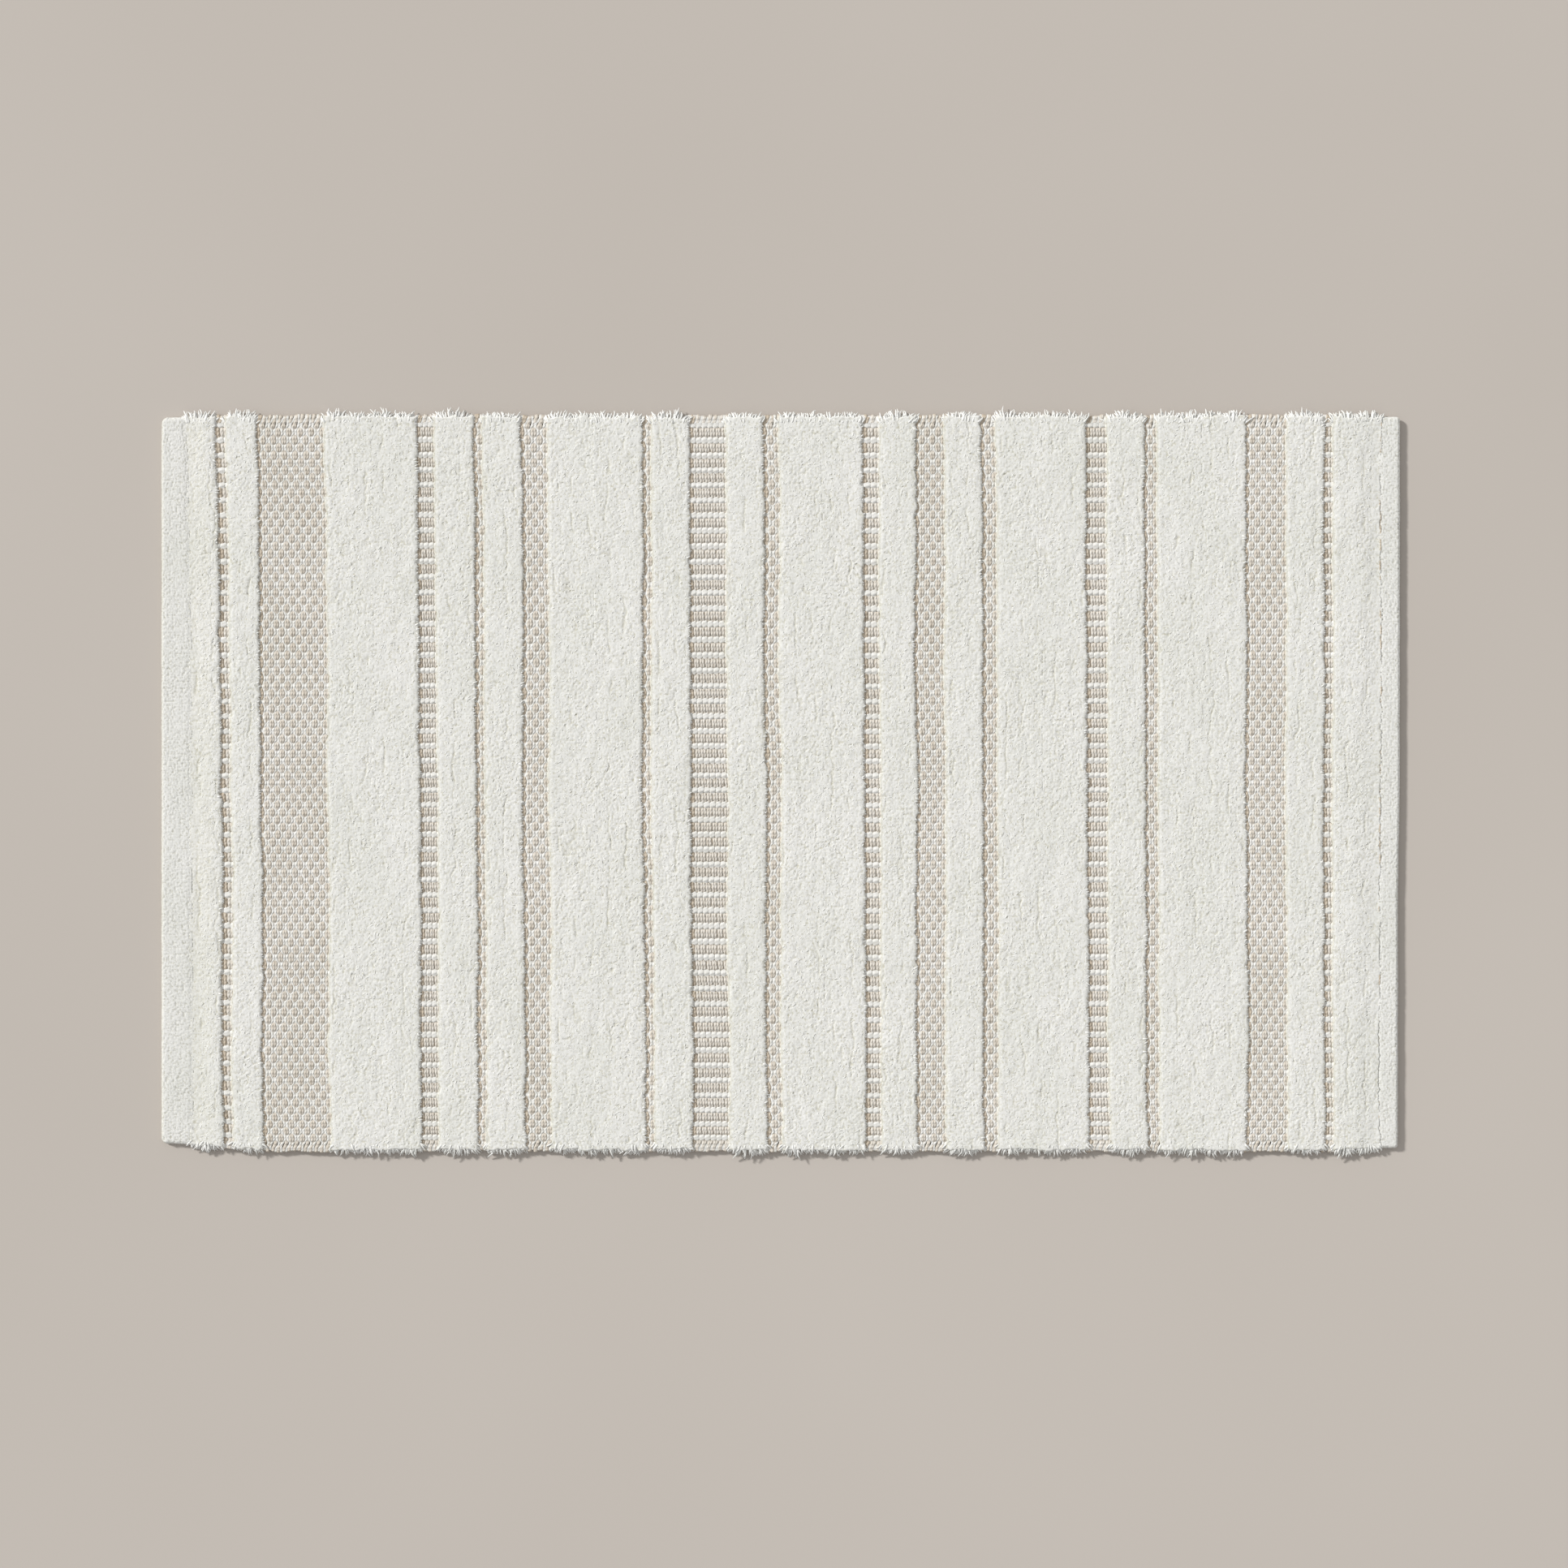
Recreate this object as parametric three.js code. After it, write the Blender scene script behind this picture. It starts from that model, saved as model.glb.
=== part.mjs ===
// Striped cotton bath mat: one ground cloth carries cut-pile stripes and flat woven bands in turn,
// and each end of the cloth is folded over and sewn down as a hem.
// Millimetres. +X runs along the mat's length, +Y across it, +Z up; the underside lies on z = 0.
import * as THREE from "three";

// ---- driving dimensions ----
const MAT_LENGTH = 864;        // fold to fold, along X
const GROUND_WIDTH = 512;      // selvedge to selvedge, along Y
const GROUND_THICKNESS = 2.0;
const BAND_TOP = 4.6;          // height of the woven bands' ribs above the floor
const PILE_TOP = 6.2;          // height of the pile above the floor
const PILE_END_SPREAD = 4.0;   // how far the tufts lean out past each selvedge
const PILE_LEAN = 1.2;         // how far a stripe's sides lean out over its neighbours
const PILE_SHOULDER = 1.4;     // rounding along a stripe's top edges
const HEM_LEFT_WIDTH = 19;
const HEM_RIGHT_WIDTH = 14;
const HEM_TOP = 4.4;
const WARP_PITCH = 10.6;       // spacing along Y of the warp cords that make the ribs
const RIB_DEPTH = 1.0;
const THREAD_WIDTH = 0.9;      // sewing thread along each hem's inner edge
const THREAD_HEIGHT = 0.5;
const GAP = 0.3;               // clearance between pieces that touch

// The stripe plan from left to right: [pile stripe width, width of the band after it, its weave].
// A ladder band has ribs right across it; a basket band is an even checker of short floats.
const STRIPE_PLAN = [
  [20, 8, "ladder"],
  [20.5, 49, "basket"],
  [63, 13, "ladder"],
  [26.5, 7, "basket"],
  [26, 19, "basket"],
  [64.5, 7, "basket"],
  [26, 26.5, "ladder"],
  [25.5, 11.5, "basket"],
  [57.5, 12, "ladder"],
  [24.5, 21, "basket"],
  [25.5, 11, "basket"],
  [62, 15, "ladder"],
  [25.5, 9.5, "basket"],
  [60.5, 29, "basket"],
  [25.5, 7, "ladder"],
];

// ---- materials ----
const fabric = (color) => new THREE.MeshStandardMaterial({ color, roughness: 0.95, metalness: 0 });
const pileCotton = fabric(0xebe9e4);
const bandCotton = fabric(0xcdbeac);
const groundCotton = fabric(0xddd8cf);
const hemCotton = fabric(0xe6e4dd);
const threadCotton = fabric(0xb9a58f);

const mat = new THREE.Group();

// A closed outline drawn in X and Z, run the whole given length along Y and centred on y = 0.
function runAlongY(outline, length, curveSegments = 4) {
  const geometry = new THREE.ExtrudeGeometry(outline, { depth: length, bevelEnabled: false, curveSegments });
  geometry.rotateX(Math.PI / 2);
  geometry.translate(0, length / 2, 0);
  return geometry;
}

function add(name, geometry, material, x, z) {
  const mesh = new THREE.Mesh(geometry, material);
  mesh.name = name;
  mesh.position.set(x, 0, z);
  mat.add(mesh);
}

// ---- ground cloth: the plain weave under everything, from fold to fold ----
const foldWall = HEM_TOP / 2;
const groundLength = MAT_LENGTH - 2 * (foldWall + GAP);
add(
  "ground_cloth",
  new THREE.BoxGeometry(groundLength, GROUND_WIDTH, GROUND_THICKNESS),
  groundCotton,
  0,
  GROUND_THICKNESS / 2,
);

// ---- pile stripe: a loaf that stands on the ground cloth and leans out over the bands ----
function pileOutline(width) {
  const half = width / 2;
  const foot = half - PILE_LEAN;
  const height = PILE_TOP - GROUND_THICKNESS - GAP;
  const neck = BAND_TOP - GROUND_THICKNESS;
  const bulge = (neck + height) / 2;
  const outline = new THREE.Shape();
  outline.moveTo(-foot, 0);
  outline.lineTo(foot, 0);
  outline.lineTo(foot, neck);
  outline.lineTo(half, bulge);
  outline.quadraticCurveTo(half, height, half - PILE_SHOULDER, height);
  outline.lineTo(PILE_SHOULDER - half, height);
  outline.quadraticCurveTo(-half, height, -half, bulge);
  outline.lineTo(-foot, neck);
  outline.closePath();
  return outline;
}

// ---- basket band: an even, low ribbon with eased edges ----
function basketBand(width) {
  const half = width / 2;
  const height = BAND_TOP - GROUND_THICKNESS - GAP;
  const easing = height / 2;
  const outline = new THREE.Shape();
  outline.moveTo(-half, 0);
  outline.lineTo(half, 0);
  outline.lineTo(half, height - easing);
  outline.quadraticCurveTo(half, height, half - easing, height);
  outline.lineTo(easing - half, height);
  outline.quadraticCurveTo(-half, height, -half, height - easing);
  outline.closePath();
  return runAlongY(outline, GROUND_WIDTH, 3);
}

// ---- ladder band: one rib for each warp cord, drawn along Y and run across the band ----
function ladderBand(width) {
  const half = GROUND_WIDTH / 2;
  const height = BAND_TOP - GROUND_THICKNESS - GAP;
  const valley = height - RIB_DEPTH;
  const ribs = Math.floor(GROUND_WIDTH / WARP_PITCH);
  const pitch = GROUND_WIDTH / ribs;
  const outline = new THREE.Shape();
  outline.moveTo(-half, 0);
  outline.lineTo(half, 0);
  outline.lineTo(half, valley);
  for (let rib = 0; rib < ribs; rib += 1) {
    const start = half - rib * pitch;
    outline.lineTo(start - 0.3 * pitch, height);
    outline.lineTo(start - 0.7 * pitch, height);
    outline.lineTo(start - pitch, valley);
  }
  outline.closePath();
  const geometry = new THREE.ExtrudeGeometry(outline, { depth: width, bevelEnabled: false });
  geometry.rotateX(Math.PI / 2);
  geometry.rotateZ(Math.PI / 2);
  geometry.translate(-width / 2, 0, 0);
  return geometry;
}

// ---- stripes and bands, laid side by side from the left hem to the right one ----
const numbered = (name, index) => `${name}_${String(index).padStart(2, "0")}`;
const onGround = GROUND_THICKNESS + GAP;
const pileLength = GROUND_WIDTH + 2 * PILE_END_SPREAD;

function addPileStripe(index, left, width) {
  add(numbered("pile_stripe", index), runAlongY(pileOutline(width), pileLength), pileCotton, left + width / 2, onGround);
}

let left = HEM_LEFT_WIDTH - MAT_LENGTH / 2;
STRIPE_PLAN.forEach(([pileWidth, bandWidth, weave], index) => {
  addPileStripe(index + 1, left, pileWidth);
  left += pileWidth;
  const wovenWidth = bandWidth + 2 * (PILE_LEAN - GAP);
  const geometry = weave === "ladder" ? ladderBand(wovenWidth) : basketBand(wovenWidth);
  add(numbered("woven_band", index + 1), geometry, bandCotton, left + bandWidth / 2, onGround);
  left += bandWidth;
});
addPileStripe(STRIPE_PLAN.length + 1, left, MAT_LENGTH / 2 - HEM_RIGHT_WIDTH - left);

// ---- hem: the cloth turned over its own end, a round fold with a flap on top of the ground ----
function hemOutline(side, width) {
  const nose = MAT_LENGTH / 2;
  const wall = nose - foldWall;
  const inner = nose - width - PILE_LEAN + GAP;
  const outline = new THREE.Shape();
  outline.moveTo(side * wall, 0);
  outline.absarc(side * wall, foldWall, foldWall, -Math.PI / 2, side * Math.PI - Math.PI / 2, side < 0);
  outline.lineTo(side * inner, HEM_TOP);
  outline.lineTo(side * inner, onGround);
  outline.lineTo(side * wall, onGround);
  outline.closePath();
  return outline;
}

for (const [sideName, side, width] of [["left", -1, HEM_LEFT_WIDTH], ["right", 1, HEM_RIGHT_WIDTH]]) {
  add(`hem_${sideName}`, runAlongY(hemOutline(side, width), GROUND_WIDTH, 8), hemCotton, 0, 0);
  add(
    `hem_stitch_${sideName}`,
    new THREE.BoxGeometry(THREAD_WIDTH, GROUND_WIDTH - 4, THREAD_HEIGHT),
    threadCotton,
    side * (MAT_LENGTH / 2 - width),
    HEM_TOP + GAP + THREAD_HEIGHT / 2,
  );
}

export default mat;
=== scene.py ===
"""Striped cotton bath mat lying flat on a pale floor: cut-pile stripes between flat woven bands,
seen from straight above. Lengths in the helpers are millimetres; meshes are written in metres."""
import math

import bpy
import numpy as np
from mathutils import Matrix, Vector


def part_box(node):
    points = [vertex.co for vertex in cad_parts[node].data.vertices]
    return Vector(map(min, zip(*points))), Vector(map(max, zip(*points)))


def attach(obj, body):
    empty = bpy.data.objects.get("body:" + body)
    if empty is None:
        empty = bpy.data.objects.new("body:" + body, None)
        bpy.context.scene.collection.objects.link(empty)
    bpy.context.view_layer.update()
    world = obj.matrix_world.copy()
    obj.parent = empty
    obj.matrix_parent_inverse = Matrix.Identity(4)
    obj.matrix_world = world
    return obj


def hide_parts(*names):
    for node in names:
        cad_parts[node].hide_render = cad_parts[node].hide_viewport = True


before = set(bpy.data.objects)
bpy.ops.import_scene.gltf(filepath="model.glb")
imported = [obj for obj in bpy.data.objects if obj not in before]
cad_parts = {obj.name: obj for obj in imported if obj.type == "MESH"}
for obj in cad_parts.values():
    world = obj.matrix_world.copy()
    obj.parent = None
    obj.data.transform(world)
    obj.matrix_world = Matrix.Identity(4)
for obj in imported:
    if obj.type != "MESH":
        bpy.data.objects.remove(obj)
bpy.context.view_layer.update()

MM = 0.001

# ---- driving dimensions, millimetres ----
RIB_PITCH = 10.57          # one over-and-under of the weft, along Y
RIB_START = 2.0            # a beige rib lies on this line; the others step out from it
HALF_WIDTH = 256.0         # selvedge, from the middle of the mat
WEAVE_END = 249.5          # where the weave turns into the selvedge loops
GROUND_TOP = 1.0           # upper side of the ground cloth
CREST = 3.66               # centre height of a beige float
DIP = 2.2                  # centre height of the same yarn where it dives under
SELVEDGE_TOP = 3.45        # height at which the yarns turn down round a selvedge
LOOP_RADIUS = 1.15         # radius of that turn
LADDER_PITCH = 3.85        # spacing of the beige columns across a ladder band
BASKET_PITCH = 3.9         # and across a basket band
BAND_MARGIN = 0.6          # how far a band's columns spread past its two edges
LADDER_BED = 2.95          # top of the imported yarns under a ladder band's floats
BASKET_BED = 3.8           # and under a basket band's
PILE_CORE = 5.35           # mean height of the pile's surface
PILE_END = HALF_WIDTH - 0.7    # where the pile's body stops; loose ends reach further
PILE_GRAIN = 0.32          # height of the pile's grains
GRAIN_PITCH = 1.85         # and their spacing
STEEP = 1.6                # width of a stripe's steep side, where it drops to a band
HEM_GRAIN = 0.52           # height of a hem's grains
HEM_PITCH = 1.5            # and their spacing
YARN_SLOTS = 48            # strips side by side in a band's texture layout

BANDS = 15
LADDER_BANDS = {1, 3, 7, 9, 12, 15}
WIDE_PILES = {3, 6, 9, 12, 14}     # made in two halves


# ---- smooth noise ----
def lattice(ix, iy, seed):
    h = (ix * 374761393 + iy * 668265263 + seed * 974634777) & 0xFFFFFFFF
    h = ((h ^ (h >> 13)) * 1274126177) & 0xFFFFFFFF
    return ((h ^ (h >> 16)) & 0xFFFF) / 32767.5 - 1.0


def noise(x, y, size_x, size_y, seed):
    """Value noise between -1 and 1 with features of about the given sizes."""
    fx, fy = np.broadcast_arrays(np.asarray(x, float) / size_x, np.asarray(y, float) / size_y)
    ix, iy = np.floor(fx).astype(np.int64), np.floor(fy).astype(np.int64)
    tx, ty = fx - ix, fy - iy
    tx, ty = tx * tx * (3 - 2 * tx), ty * ty * (3 - 2 * ty)
    a, b = lattice(ix, iy, seed), lattice(ix + 1, iy, seed)
    c, d = lattice(ix, iy + 1, seed), lattice(ix + 1, iy + 1, seed)
    return (a * (1 - tx) + b * tx) * (1 - ty) + (c * (1 - tx) + d * tx) * ty


def smooth(t):
    t = np.clip(t, 0, 1)
    return t * t * (3 - 2 * t)


def laid(points):
    """The flat, straight mat as it lies: stripes lean, bow and waver along X, and two corners draw in."""
    x, y, z = points[:, 0], points[:, 1], points[:, 2]
    # along X: the two ends stay straight, the lower half of the right one steps in
    fade = smooth((432 - np.abs(x)) / 28)
    lean = -(0.0062 - 0.0032 * x / 430) * y
    bow = 2.6 * np.exp(-(((x + 400) / 60) ** 2)) * np.cos(np.pi * (y + 30) / 560)
    waver = 1.0 * noise(x, y, 47, 88, 5) + 0.45 * noise(x, y, 23, 31, 6)
    right_edge = -1.4 * smooth((20 - y) / 120) * smooth((x - 300) / 130)
    dx = fade * (lean + bow + waver) + right_edge
    # along Y: the rows crowd and spread, least at the selvedges, and the two lower corners draw in
    drawn_in = 0.014 * smooth((-345 - x) / 87) + 0.003 * smooth((x - 390) / 42)
    beat = 1.25 * np.cos(2 * np.pi * (y - 190) / 250) + 0.0016 * y - 1.6
    dy = beat * smooth((260 - np.abs(y)) / 34) + 0.6 * noise(x, 0.3 * y, 70, 90, 8)
    dy = dy - y * drawn_in * smooth(-y / 200)
    return np.stack([x + dx, y + dy, z], -1)


# ---- meshes from tubes ----
class Cloth:
    """Collects tubes and grids, then writes them as one mesh."""

    def __init__(self):
        self.points, self.depths, self.faces, self.count = [], [], [], 0

    def add(self, points, faces, uvs, slot, depth=None):
        """faces is a list of (k, n) indices into points, uvs the matching (k, n, 2).
        The last argument darkens the colour: painted shade, 1 down in a crevice and 0 in the open; a basket
        band's yarns also carry their own darker tone in it."""
        self.points.append(points.reshape(-1, 3))
        self.depths.append(np.zeros(points.size // 3) if depth is None else depth.ravel())
        for f, uv in zip(faces, uvs):
            self.faces.append((f + self.count, uv, slot))
        self.count += len(self.points[-1])

    def mesh(self, name, materials):
        co = laid(np.concatenate(self.points)) * MM
        me = bpy.data.meshes.new(name)
        me.vertices.add(len(co))
        me.vertices.foreach_set("co", co.astype(np.float32).ravel())
        index = np.concatenate([f.ravel() for f, _, _ in self.faces])
        sizes = np.concatenate([np.full(len(f), f.shape[1]) for f, _, _ in self.faces])
        slots = np.concatenate([np.full(len(f), s) for f, _, s in self.faces])
        uv = np.concatenate([u.reshape(-1, 2) for _, u, _ in self.faces])
        me.loops.add(len(index))
        me.loops.foreach_set("vertex_index", index.astype(np.int32))
        me.polygons.add(len(sizes))
        me.polygons.foreach_set("loop_start", (np.cumsum(sizes) - sizes).astype(np.int32))
        me.polygons.foreach_set("material_index", slots.astype(np.int32))
        me.polygons.foreach_set("use_smooth", np.ones(len(sizes), bool))
        me.uv_layers.new(name="OFBake")
        me.uv_layers["OFBake"].data.foreach_set("uv", uv.astype(np.float32).ravel())
        # the painted shade, with a basket yarn's own tone, goes to the materials as a point attribute
        me.attributes.new("depth", "FLOAT", "POINT")
        me.attributes["depth"].data.foreach_set("value", np.concatenate(self.depths).astype(np.float32))
        me.update(calc_edges=True)
        for m in materials:
            me.materials.append(m)
        ob = bpy.data.objects.new(name, me)
        bpy.context.scene.collection.objects.link(ob)
        return ob


def grid_quads(at):
    """The upward faces of a grid, from the point numbers of its rows."""
    return np.stack([at[:-1, :-1], at[:-1, 1:], at[1:, 1:], at[1:, :-1]], -1)


def rim_of(at):
    """The point numbers once round a grid's border."""
    return np.concatenate([at[0, :-1], at[:-1, -1], at[-1, :0:-1], at[:0:-1, 0]])


def skirt(upper, lower):
    """The wall between two closed rows of points."""
    return np.stack([upper, lower, np.roll(lower, -1), np.roll(upper, -1)], -1)


def unit(v):
    return v / np.maximum(np.linalg.norm(v, axis=-1, keepdims=True), 1e-9)


def polygon(sides):
    """A regular section for a tube."""
    turn = 2 * np.pi * (np.arange(sides) + 0.5) / sides
    return np.stack([np.cos(turn), np.sin(turn)], 1)


ACROSS = np.array([1.0, 0, 0])     # the side of a yarn that runs along Y
# sections of the weft, across and up: flat-topped for the white yarns, plump for the beige ones
FLAT_TOPPED = np.array([(1.0, 0.0), (0.6, 0.92), (-0.6, 0.92), (-1.0, 0.0), (0.0, -1.0)])
PLUMP = np.array([(1.0, 0.05), (0.5, 0.92), (-0.5, 0.92), (-1.0, 0.05), (-0.5, -0.9), (0.5, -0.9)])


def tubes(paths, half_side, half_up, side, section):
    """Closed tubes along paths (n, m, 3) with one section, scaled at every step: points, quads and caps."""
    n, m = paths.shape[:2]
    sides = len(section)
    along = unit(np.gradient(paths, axis=1))
    side = np.broadcast_to(side, paths.shape)
    side = unit(side - (side * along).sum(-1, keepdims=True) * along)
    up = np.cross(side, along)
    ring = (
        paths[:, :, None]
        + side[:, :, None] * (half_side[..., None] * section[:, 0])[..., None]
        + up[:, :, None] * (half_up[..., None] * section[:, 1])[..., None]
    )
    at = np.arange(n * m * sides).reshape(n, m, sides)
    nxt = np.roll(at, -1, axis=2)
    quads = np.stack([at[:, :-1], at[:, 1:], nxt[:, 1:], nxt[:, :-1]], -1)
    caps = np.concatenate([at[:, 0], at[:, -1, ::-1]])
    return ring, quads.reshape(-1, 4), caps


def tube_uv(n, m, sides, first, slots):
    """Every strand has its own upright strip of the unit square."""
    i = np.arange(n)[:, None, None]
    k = np.arange(sides)[None, None, :]
    j = np.arange(m - 1)[None, :, None]
    u0 = (first + i + (0.04 + 0.92 * k / sides)) / slots + 0 * j
    u1 = (first + i + (0.04 + 0.92 * (k + 1) / sides)) / slots + 0 * j
    v0 = j / (m - 1) + 0 * (i + k)
    v1 = (j + 1) / (m - 1) + 0 * (i + k)
    corners = ((u0, v0), (u0, v1), (u1, v1), (u1, v0))
    quads = np.stack([np.stack(corner, -1) for corner in corners], 3)
    mid = (first + np.arange(n) + 0.5) / slots
    cap = np.zeros((2 * n, sides, 2))
    cap[:n, :, 0] = cap[n:, :, 0] = mid[:, None]
    cap[n:, :, 1] = 1
    return quads.reshape(-1, 4, 2), cap


def plan_uv(points, faces, box, tile=0, tiles=1):
    """Seen from above, inside one upright tile of the unit square."""
    x0, x1, y0, y1 = box
    p = points.reshape(-1, 3)[faces]
    u = (np.clip((p[..., 0] - x0) / (x1 - x0), 0, 1) + tile) / tiles
    v = np.clip((p[..., 1] - y0) / (y1 - y0), 0, 1)
    return np.stack([u, v], -1)


# ---- woven band ----
def float_height(turn, share, bend=0.6):
    """1 on top of a float that takes this share of the repeat, 0 under the warp, smooth between them."""
    a = np.abs(turn - np.round(turn))
    over = 0.5 + 0.5 * np.cos(np.pi * np.minimum(a / share, 0.5)) ** bend
    under = 0.5 - 0.5 * np.cos(np.pi * np.minimum((0.5 - a) / (1 - share), 0.5)) ** bend
    return np.where(a <= share / 2, over, under)


STEPS = 8                  # points of a yarn in one repeat
weave_y = RIB_START + np.arange(-25 * STEPS, 25 * STEPS + 1) * RIB_PITCH / STEPS
weave_y = weave_y[np.abs(weave_y) <= HALF_WIDTH - 1.2]
ARC = np.radians([66, 36, 6, -28, -62])    # round a selvedge, from the top down


def weft(x, z, half_side, half_up):
    """Yarns along Y that turn down round both selvedges. x, z and the half sizes are (n, m) on weave_y."""
    n = len(x)
    y = np.broadcast_to(weave_y, x.shape)
    end = smooth((np.abs(y) - WEAVE_END) / 2.0)
    z = z * (1 - end) + SELVEDGE_TOP * end
    half_side = half_side * (1 - end) + half_side.max(1, keepdims=True) * 0.92 * end
    # towards its loops a yarn shifts sideways, one way at either selvedge
    x = x + 2.0 * np.sign(y) * smooth((np.abs(y) - 249) / 6.5)
    parts = []
    for s in (-1, 1):
        k = 0 if s < 0 else -1
        # no two loops reach out equally far
        reach = 0.8 * noise(x[:, k, None], s * 9.0, 2.3, 1, 61)
        cy, cz = s * (HALF_WIDTH - 0.8 + reach), SELVEDGE_TOP - LOOP_RADIUS
        a = ARC if s > 0 else ARC[::-1]
        arc = np.empty((n, len(a), 3))
        arc[..., 0] = x[:, k, None] + 0.25 * s
        arc[..., 1] = cy + s * LOOP_RADIUS * np.cos(a)
        arc[..., 2] = cz + LOOP_RADIUS * np.sin(a)
        parts.append(arc)
    path = np.concatenate([parts[0], np.stack([x, y, z], -1), parts[1]], 1)
    loops = ((0, 0), (len(ARC), len(ARC)))
    return path, np.pad(half_side, loops, "edge"), np.pad(half_up, loops, "edge")


def bed(x0, x1, z):
    """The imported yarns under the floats, as one closed mat: points and faces."""
    columns = np.linspace(x0, x1, max(4, round((x1 - x0) / 1.9)) + 1)
    gx, gy = np.meshgrid(columns, np.linspace(-WEAVE_END, WEAVE_END, 200))
    upper = np.stack([gx, gy, z + 0.12 * noise(gx, gy, 2, 5, 77)], -1).reshape(-1, 3)
    at = np.arange(gx.size).reshape(gx.shape)
    top = grid_quads(at).reshape(-1, 4)
    rim = rim_of(at)
    low = len(upper) + np.arange(len(rim))
    foot = upper[rim] * (1, 1, 0) + (0, 0, 1.15)
    return np.concatenate([upper, foot]), [top, skirt(rim, low), low[None, ::-1]]


def beige_strands(number, middle, pitch, turn, ladder):
    """Two strands side by side in every beige column, bulging on top and closing up where they dive under.
    Returns x, height and the half sizes, (2 * columns, m) each."""
    y = weave_y[None, :]
    column = np.arange(len(middle))[:, None]
    share = 0.60 if ladder else 0.74        # of the repeat, taken by a float
    unequal = 0.045 if ladder else 0.03     # how much its length varies
    slant = 0.8 if ladder else 0.35         # how far it leans across its column
    phase = 0 * column if ladder else (column % 2) * 0.5
    fat = 1 + 0.08 * noise(middle * 3.7, y, 4.0, RIB_PITCH * 0.9, 50 + number)
    drift = 0.26 * noise(middle * 2.3, y, 5.0, 7.0, 80 + number)
    strand_x, strand_z, strand_w, strand_h = [], [], [], []
    for s in (-1, 1):
        t = turn + phase + 0.03 * noise(middle + 0 * y, y, 3.1, 9, 20 + number)
        t = t + unequal * noise(middle + 13 * s, y, 3.1, RIB_PITCH, 35 + number)
        local = t - np.round(t)
        a = np.abs(local) / (share / 2)
        over = float_height(t, share)
        belly = np.sqrt(np.clip(1 - (0.93 * np.minimum(a, 1)) ** 2, 0, 1))
        # both strands of a column close up where they reach the selvedge
        belly = belly * (1 - smooth((np.abs(y) - WEAVE_END) / 2.0))
        # the first column, in the pile's shade, hardly dives
        over = np.where(column == 0, 0.62 + 0.38 * over, over)
        belly = np.where(column == 0, np.maximum(belly, 0.8), belly)
        if ladder:
            spread, girth = (0.105 + 0.130 * belly) * pitch, (0.170 + 0.105 * belly) * pitch
        else:
            belly = np.clip((belly - 0.37) / 0.63, 0, 1) ** 1.15
            spread, girth = (0.03 + 0.205 * belly) * pitch, (0.12 + 0.205 * belly) * pitch
            over = 1.08 * over
        lift = 0.10 * noise(middle * 1.9 + 31 * s, y, 6.0, 8.0, 110 + number)
        height = DIP + (CREST - DIP) * over + (lift + s * 0.08 * np.sin(2 * np.pi * (t - 0.1))) * over
        strand_x.append(middle + drift + s * spread * fat - slant * local)
        strand_z.append(height - 0.15 * (column == 0))
        strand_w.append(girth * fat)
        strand_h.append((0.44 + 0.22 * over) * fat)
    both = (strand_x, strand_z, strand_w, strand_h)
    return tuple(np.stack(v, 1).reshape(-1, len(weave_y)) for v in both)


def white_yarns(number, between, pitch, turn, ladder):
    """The white yarns between the columns: short floats in a ladder band, a wavy net in a basket band.
    Returns x, height and the half sizes, (columns + 1, m) each."""
    y = weave_y[None, :]
    row = np.arange(len(between))[:, None]
    fat = 1 + 0.08 * noise(between * 3.1, y, 4.0, 8.0, 140 + number)
    wander = 0.14 * noise(between * 2.1, y, 5, 6, 200 + number)
    sway = noise(between + 0 * y, y, 3.1, 9, 170 + number)
    if ladder:
        over = float_height(turn + 0.5 + 0.03 * sway, 0.43, 0.35)
        z = 2.5 + 1.25 * over + 0.08 * noise(between + 17, y, 5, 4, 220 + number)
        return between + wander, z, (0.15 + 0.49 * over) * pitch * fat, 0.36 + 0.06 * over
    swing = np.cos(2 * np.pi * (turn + (row % 2) * 0.5 + 0.02 * sway))
    swing = np.sign(swing) * np.abs(swing) ** 0.85
    patch = swing**2
    # beside the first column the white yarn stays back and leaves an unbroken beige line
    swing = np.where(row == 0, 0, np.where(row == 1, np.minimum(swing, 0.1), swing))
    z = 3.54 + 0.22 * patch - 0.6 * (row == 0) + 0.08 * noise(between * 1.7, y, 5, 9, 230 + number)
    return between - 1.12 * swing + wander, z, (0.60 + 0.55 * patch) * fat, 0.42 + 0.04 * patch


def add_yarns(cloth, yarns, section, first, slot, strand_painted_shade_and_tone=None):
    """yarns is x, height and the half sizes, first the first one's strip, and the last argument each yarn's
    painted shade and own tone.
    """
    path, half_side, half_up = weft(*yarns)
    points, quads, caps = tubes(path, half_side, half_up, ACROSS, section)
    quad_uv, cap_uv = tube_uv(len(path), path.shape[1], len(section), first, YARN_SLOTS)
    depth = None if strand_painted_shade_and_tone is None else np.repeat(strand_painted_shade_and_tone, points.size // 3 // len(path))
    cloth.add(points, [quads, caps], [quad_uv, cap_uv], slot, depth)


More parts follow.
